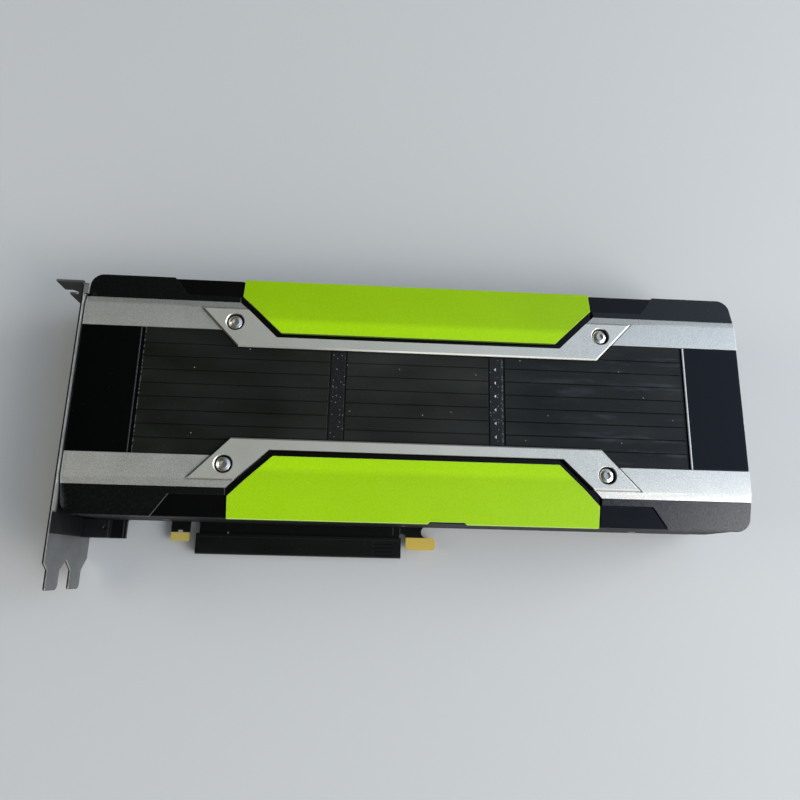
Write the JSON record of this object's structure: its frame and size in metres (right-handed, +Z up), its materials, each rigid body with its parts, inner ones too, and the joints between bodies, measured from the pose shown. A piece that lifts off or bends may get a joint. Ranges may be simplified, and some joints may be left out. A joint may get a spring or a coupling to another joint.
{
  "type": "passive accelerator card",
  "caption": "Double-slot server expansion card with a passive heatsink in an open-ended black cover, trimmed in silver and green, with a slot bracket and a capped edge connector.",
  "frame": {"origin": "under the middle of the card's box, on the plane it lies on", "axes": "+X from the slot bracket to the open tail, +Y away from the edge connector, +Z up through the decorated cover"},
  "size_m": [0.2782, 0.127, 0.0387],
  "materials": {
    "anchor_black": "black coated block",
    "backplate_black": "black painted aluminium sheet",
    "black_board": "black solder mask over glass laminate",
    "cap_grey": "dark textured moulding",
    "cap_plastic": "black moulded dust cap",
    "capacitor_can": "drawn aluminium can",
    "cast_black": "black painted die casting",
    "ceramic_tan": "fired ceramic",
    "chip_black": "moulding compound",
    "cover_black": "gloss black moulding",
    "fin_metal": "plain aluminium fins",
    "gold_contact": "gold plated copper",
    "lime_green": "lime green paint, satin",
    "nickel_steel": "nickel plated steel sheet, semi-gloss",
    "package_green": "package laminate",
    "pad_grey": "soft thermal pad",
    "panel_black": "satin black moulding",
    "pin_tin": "tinned brass pin",
    "screw_steel": "bright plated screws",
    "seam_black": "fine textured black",
    "silicon": "polished silicon",
    "silver_paint": "fine silver metallic paint",
    "sink_metal": "nickel plated aluminium",
    "socket_black": "black moulded socket"
  },
  "bodies": {
    "root": {"accent_rail_lower": "silver_paint", "accent_rail_upper": "silver_paint", "backplate": "backplate_black", "backplate_screws": "screw_steel", "base_plate": "cast_black", "bracket_anchor": "anchor_black", "bracket_screws": "screw_steel", "centre_panel": "panel_black", "ceramic_capacitors": "ceramic_tan", "circuit_board": "black_board", "connector_cap": "cap_plastic", "corner_cap_front_lower": "cap_grey", "corner_cap_front_upper": "cap_grey", "corner_cap_rear_lower": "cap_grey", "corner_cap_rear_upper": "cap_grey", "cover_body": "cover_black", "edge_contacts": "gold_contact", "end_plate_front": "cover_black", "end_plate_rear": "cover_black", "fin_stack": "fin_metal", "gpu_die": "silicon", "gpu_substrate": "package_green", "green_panel_lower": "lime_green", "green_panel_upper": "lime_green", "heatsink_base": "sink_metal", "inductors": "chip_black", "input_capacitors": "capacitor_can", "memory_chips": "chip_black", "memory_pads": "pad_grey", "power_connector": "socket_black", "power_pins": "pin_tin", "power_stage_pads": "pad_grey", "power_stages": "chip_black", "rail_screws": "screw_steel", "seam_strip_front": "seam_black", "seam_strip_rear": "seam_black", "side_screws": "screw_steel", "silver_strip_lower": "silver_paint", "silver_strip_upper": "silver_paint", "slot_bracket": "nickel_steel", "spring_washers": "screw_steel", "sprung_screws": "screw_steel"}
  },
  "joints": []
}
